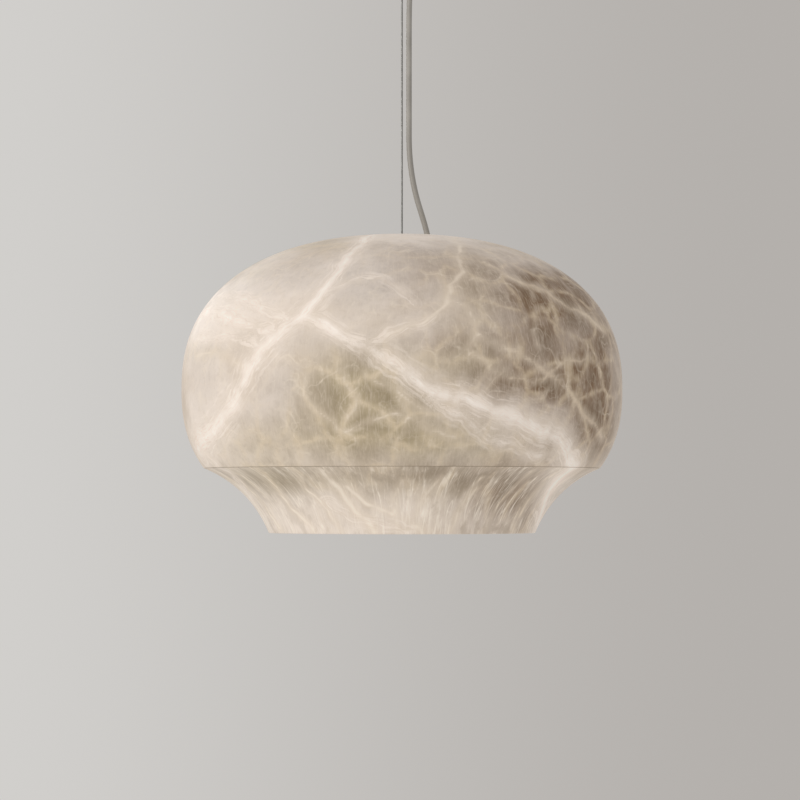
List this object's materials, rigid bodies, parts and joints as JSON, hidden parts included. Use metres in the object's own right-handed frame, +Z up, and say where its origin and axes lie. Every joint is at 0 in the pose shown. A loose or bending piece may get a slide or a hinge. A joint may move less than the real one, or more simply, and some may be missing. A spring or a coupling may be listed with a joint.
{
  "type": "pendant lamp",
  "caption": "Pendant lamp with a wide turned alabaster shade and flared skirt, hung on a thin steel wire with the flex beside it.",
  "frame": {"origin": "on the ceiling plane, in the middle between the strap's two screw slots, on the wire's axis", "axes": "+Z up into the ceiling, +X towards the side on which the flex runs beside the wire, +Y away from the picture's camera"},
  "size_m": [0.45, 0.4499, 0.684],
  "materials": {
    "alabaster": "polished",
    "resin": "satin",
    "gasket_rubber": "matte",
    "zinc_steel": "satin",
    "canopy_paint": "matte",
    "plate_paint": "satin",
    "nickel": "polished",
    "ball_steel": "polished",
    "spring_steel": "satin",
    "wire_rope": "satin",
    "ball_end_steel": "satin",
    "cord_jacket": "satin",
    "clear_nylon": "gloss",
    "grey_nylon": "satin",
    "block_plastic": "satin",
    "lead_sleeve": "satin",
    "earth_brass": "satin",
    "holder_white": "satin",
    "porcelain": "gloss",
    "bulb_metal": "satin",
    "bulb_glass_black": "gloss",
    "bulb_white": "satin",
    "bulb_diffuser": "matte"
  },
  "bodies": {
    "ceiling_mount": {"ceiling_strap": "zinc_steel", "canopy": "canopy_paint", "strap_tube": "zinc_steel", "strap_nuts": "zinc_steel", "gripper_collar": "nickel", "gripper_body": "nickel", "gripper_spring": "spring_steel", "wire_tail": "wire_rope", "wire_coil": "wire_rope", "cord_grip": "grey_nylon", "grip_nut": "zinc_steel", "cord_sleeve": "grey_nylon", "cord_entry": "cord_jacket", "cord_coil": "cord_jacket", "terminal_block": "block_plastic", "terminal_screws": "zinc_steel", "canopy_leads": "lead_sleeve", "earth_screw": "earth_brass"},
    "plunger": {"gripper_plunger": "nickel", "gripper_balls": "ball_steel"},
    "suspension": {"suspension_wire": "wire_rope", "power_cord": "cord_jacket", "cord_clip": "clear_nylon"},
    "wire_end": {"wire_ball": "ball_end_steel"},
    "shade": {"shade_dome": "alabaster", "shade_skirt": "alabaster", "seam_resin": "resin", "stone_gasket": "gasket_rubber", "carrier_plate": "plate_paint", "wire_hub": "nickel", "hub_nut": "nickel", "cord_gland": "grey_nylon", "gland_nut": "grey_nylon", "inner_cord": "cord_jacket", "holder_leads": "lead_sleeve", "lamp_yoke": "plate_paint", "yoke_screws": "zinc_steel", "holder_tube": "zinc_steel", "holder_nut": "zinc_steel", "holder_cap": "holder_white", "holder_ring": "holder_white", "holder_insert": "porcelain", "screw_shell": "earth_brass", "centre_contact": "earth_brass"},
    "bulb_slide": {"bulb_tip": "bulb_metal"},
    "bulb": {"bulb_glaze": "bulb_glass_black", "bulb_cap": "bulb_metal", "bulb_housing": "bulb_white", "bulb_globe": "bulb_diffuser"}
  },
  "joints": [
    {"name": "plunger_push", "type": "slide", "parent": "ceiling_mount", "child": "plunger", "axis": [0, 0, 1], "range_m": [0, 0.003], "stiffness_N_per_m": 1500, "springref_m": -0.002, "deforming": ["gripper_spring"]},
    {"name": "wire_swing", "type": "hinge", "parent": "ceiling_mount", "child": "suspension", "pos_m": [0, 0, -0.081], "axis": [0, 1, 0], "range_deg": [-12, 12]},
    {"name": "height_adjust", "type": "slide", "parent": "suspension", "child": "wire_end", "axis": [0, 0, 1], "range_m": [-0.4, 0.1], "deforming": ["suspension_wire", "power_cord"]},
    {"name": "shade_rock", "type": "hinge", "parent": "wire_end", "child": "shade", "pos_m": [0, 0, -0.40379], "axis": [1, 0, 0], "range_deg": [-8, 8]},
    {"name": "bulb_travel", "type": "slide", "parent": "shade", "child": "bulb_slide", "axis": [0, 0, -1], "range_m": [0, 0.0145]},
    {"name": "bulb_turn", "type": "hinge", "parent": "bulb_slide", "child": "bulb", "pos_m": [0, 0, -0.5], "axis": [0, 0, -1], "range_deg": [0, 1440]}
  ],
  "couplings": [
    {"joint": "bulb_turn", "follows": "bulb_travel", "rad_per_m": 1731.4}
  ]
}
